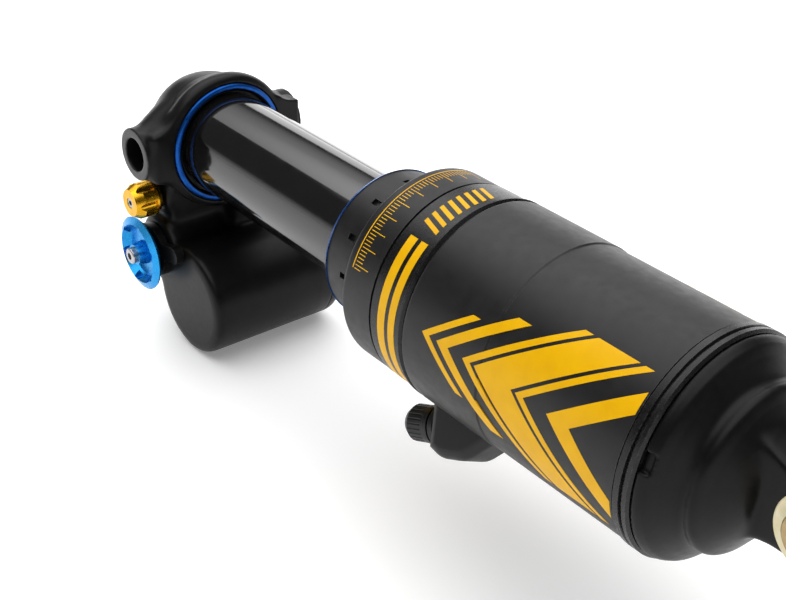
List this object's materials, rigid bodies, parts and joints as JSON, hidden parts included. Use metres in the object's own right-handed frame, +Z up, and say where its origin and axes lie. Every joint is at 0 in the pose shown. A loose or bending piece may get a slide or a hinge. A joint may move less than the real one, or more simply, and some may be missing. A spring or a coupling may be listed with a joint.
{
  "type": "bicycle rear shock absorber",
  "caption": "Trunnion-mount air shock with a crosswise oil reservoir, adjuster knobs, a sliding damper tube and an eyelet end; it cushions a rear suspension.",
  "frame": {"origin": "centre of the eyelet bore", "axes": "+X along the shock, from the trunnion head towards and past the eyelet; +Y along the eyelet and trunnion pivot axes, away from the adjuster knobs; +Z up, with the reservoir below"},
  "size_m": [0.2558, 0.0577, 0.0908],
  "materials": {
    "can_black": "satin black anodised aluminium",
    "head_black": "satin black painted casting",
    "tube_black": "polished black hard anodised",
    "anodised_blue": "satin blue anodised",
    "knob_blue": "bright blue anodised",
    "knob_gold": "bright gold anodised",
    "alloy": "machined",
    "steel": "ground",
    "chrome": "hard chromed and polished",
    "brass": "turned",
    "rubber": "matt black",
    "guide_plastic": "bronze filled",
    "cap_plastic": "fine textured black",
    "bush_plastic": "cream glide plastic",
    "sleeve_alloy": "tan hard anodised",
    "foam": "microcellular"
  },
  "bodies": {
    "can": {"can_collar": "can_black", "wiper_ring": "anodised_blue", "dust_wiper": "rubber", "collar_bush": "guide_plastic", "collar_air_seal": "rubber", "can_nose": "can_black", "can_sleeve": "can_black", "sleeve_seal": "rubber", "air_can": "can_black", "valve_stem": "can_black", "valve_core": "brass", "can_lock_ring": "can_black", "end_cap": "head_black", "end_cap_seal": "rubber", "bottom_out_bumper": "foam", "eyelet_bush_left": "bush_plastic", "eyelet_bush_right": "bush_plastic", "piston_rod": "chrome", "main_piston": "alloy", "piston_band": "guide_plastic", "compression_shims": "steel", "rebound_shims": "steel", "piston_nut": "steel"},
    "damper": {"head_casting": "head_black", "damper_tube": "tube_black", "head_ring": "anodised_blue", "head_tube_seal": "rubber", "seal_head": "alloy", "rod_bush": "guide_plastic", "rod_seal": "rubber", "air_piston_seal": "rubber", "air_piston_band": "guide_plastic", "top_out_bumper": "foam", "reservoir_cap": "head_black", "reservoir_cap_seal": "rubber", "gas_fill_screw": "steel", "compression_valve": "brass"},
    "floating_piston": {"floating_piston": "alloy", "floating_piston_seal": "rubber"},
    "compression_dial": {"compression_knob": "knob_blue", "compression_knob_screw": "steel", "compression_needle": "steel"},
    "climb_lever": {"climb_lever": "head_black"},
    "rebound_dial": {"rebound_knob": "knob_gold", "rebound_knob_screw": "steel", "rebound_needle": "steel"},
    "valve_cap": {"valve_cap": "cap_plastic"},
    "valve_pin": {"valve_pin": "brass"},
    "eyelet_sleeve": {"eyelet_sleeve": "sleeve_alloy"}
  },
  "joints": [
    {"name": "shock_stroke", "type": "slide", "parent": "can", "child": "damper", "axis": [1, 0, 0], "range_m": [0, 0.075], "stiffness_N_per_m": 12000},
    {"name": "floating_piston_slide", "type": "slide", "parent": "damper", "child": "floating_piston", "axis": [0, 1, 0], "range_m": [0, 0.0085]},
    {"name": "compression_knob_turn", "type": "hinge", "parent": "damper", "child": "compression_dial", "pos_m": [-0.2299, -0.025, -0.0356], "axis": [0, -1, 0], "range_deg": [-90, 180]},
    {"name": "climb_lever_turn", "type": "hinge", "parent": "damper", "child": "climb_lever", "pos_m": [-0.2299, -0.0205, -0.0356], "axis": [0, -1, 0], "range_deg": [0, 40]},
    {"name": "rebound_knob_turn", "type": "hinge", "parent": "damper", "child": "rebound_dial", "pos_m": [-0.2299, -0.024, -0.0178], "axis": [0, -1, 0], "range_deg": [-180, 180]},
    {"name": "valve_cap_lift", "type": "slide", "parent": "can", "child": "valve_cap", "axis": [-0.9272, -0.1671, -0.3352], "range_m": [0, 0.012]},
    {"name": "valve_pin_press", "type": "slide", "parent": "can", "child": "valve_pin", "axis": [0.9272, 0.1671, 0.3352], "range_m": [0, 0.0012], "stiffness_N_per_m": 600},
    {"name": "eyelet_sleeve_turn", "type": "hinge", "parent": "can", "child": "eyelet_sleeve", "pos_m": [0, 0, 0], "axis": [0, 1, 0], "continuous": true}
  ],
  "couplings": [
    {"joint": "floating_piston_slide", "follows": "shock_stroke", "ratio": 0.11111}
  ]
}
